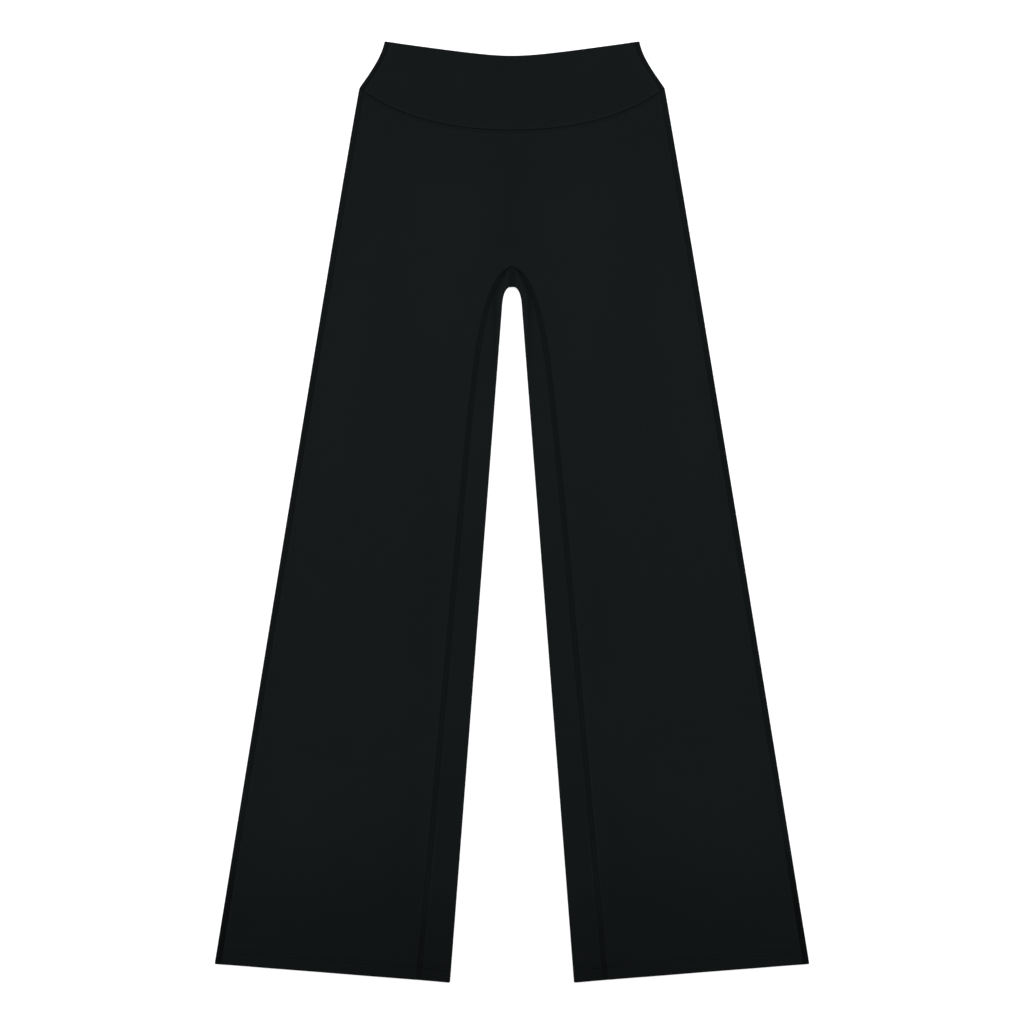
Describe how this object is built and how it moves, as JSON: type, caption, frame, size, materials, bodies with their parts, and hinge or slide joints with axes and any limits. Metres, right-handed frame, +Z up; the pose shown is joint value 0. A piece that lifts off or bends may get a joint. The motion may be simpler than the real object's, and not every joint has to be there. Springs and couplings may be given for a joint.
{
  "type": "yoga pants",
  "caption": "High-waisted wide-leg yoga pants of black jersey, laid flat front side up, with a contoured waistband and inner-leg panels.",
  "frame": {"origin": "middle of the flat underside, where the laid pants rest", "axes": "+X to the right of someone looking down at the front, +Y from the hems to the waist, +Z up from the surface through the back and then the front"},
  "size_m": [0.6656, 1.053, 0.0058],
  "materials": {
    "leg_jersey": "matt brushed nylon and elastane jersey, near black with a cool tint",
    "waistband_jersey": "the same jersey, doubled",
    "seam_thread": "matt black textured polyester thread"
  },
  "bodies": {
    "root": {"waistband_front": "waistband_jersey", "waistband_back": "waistband_jersey", "front_panel": "leg_jersey", "back_panel_left": "leg_jersey", "back_panel_right": "leg_jersey", "inner_leg_left": "leg_jersey", "inner_leg_right": "leg_jersey"}
  },
  "joints": []
}
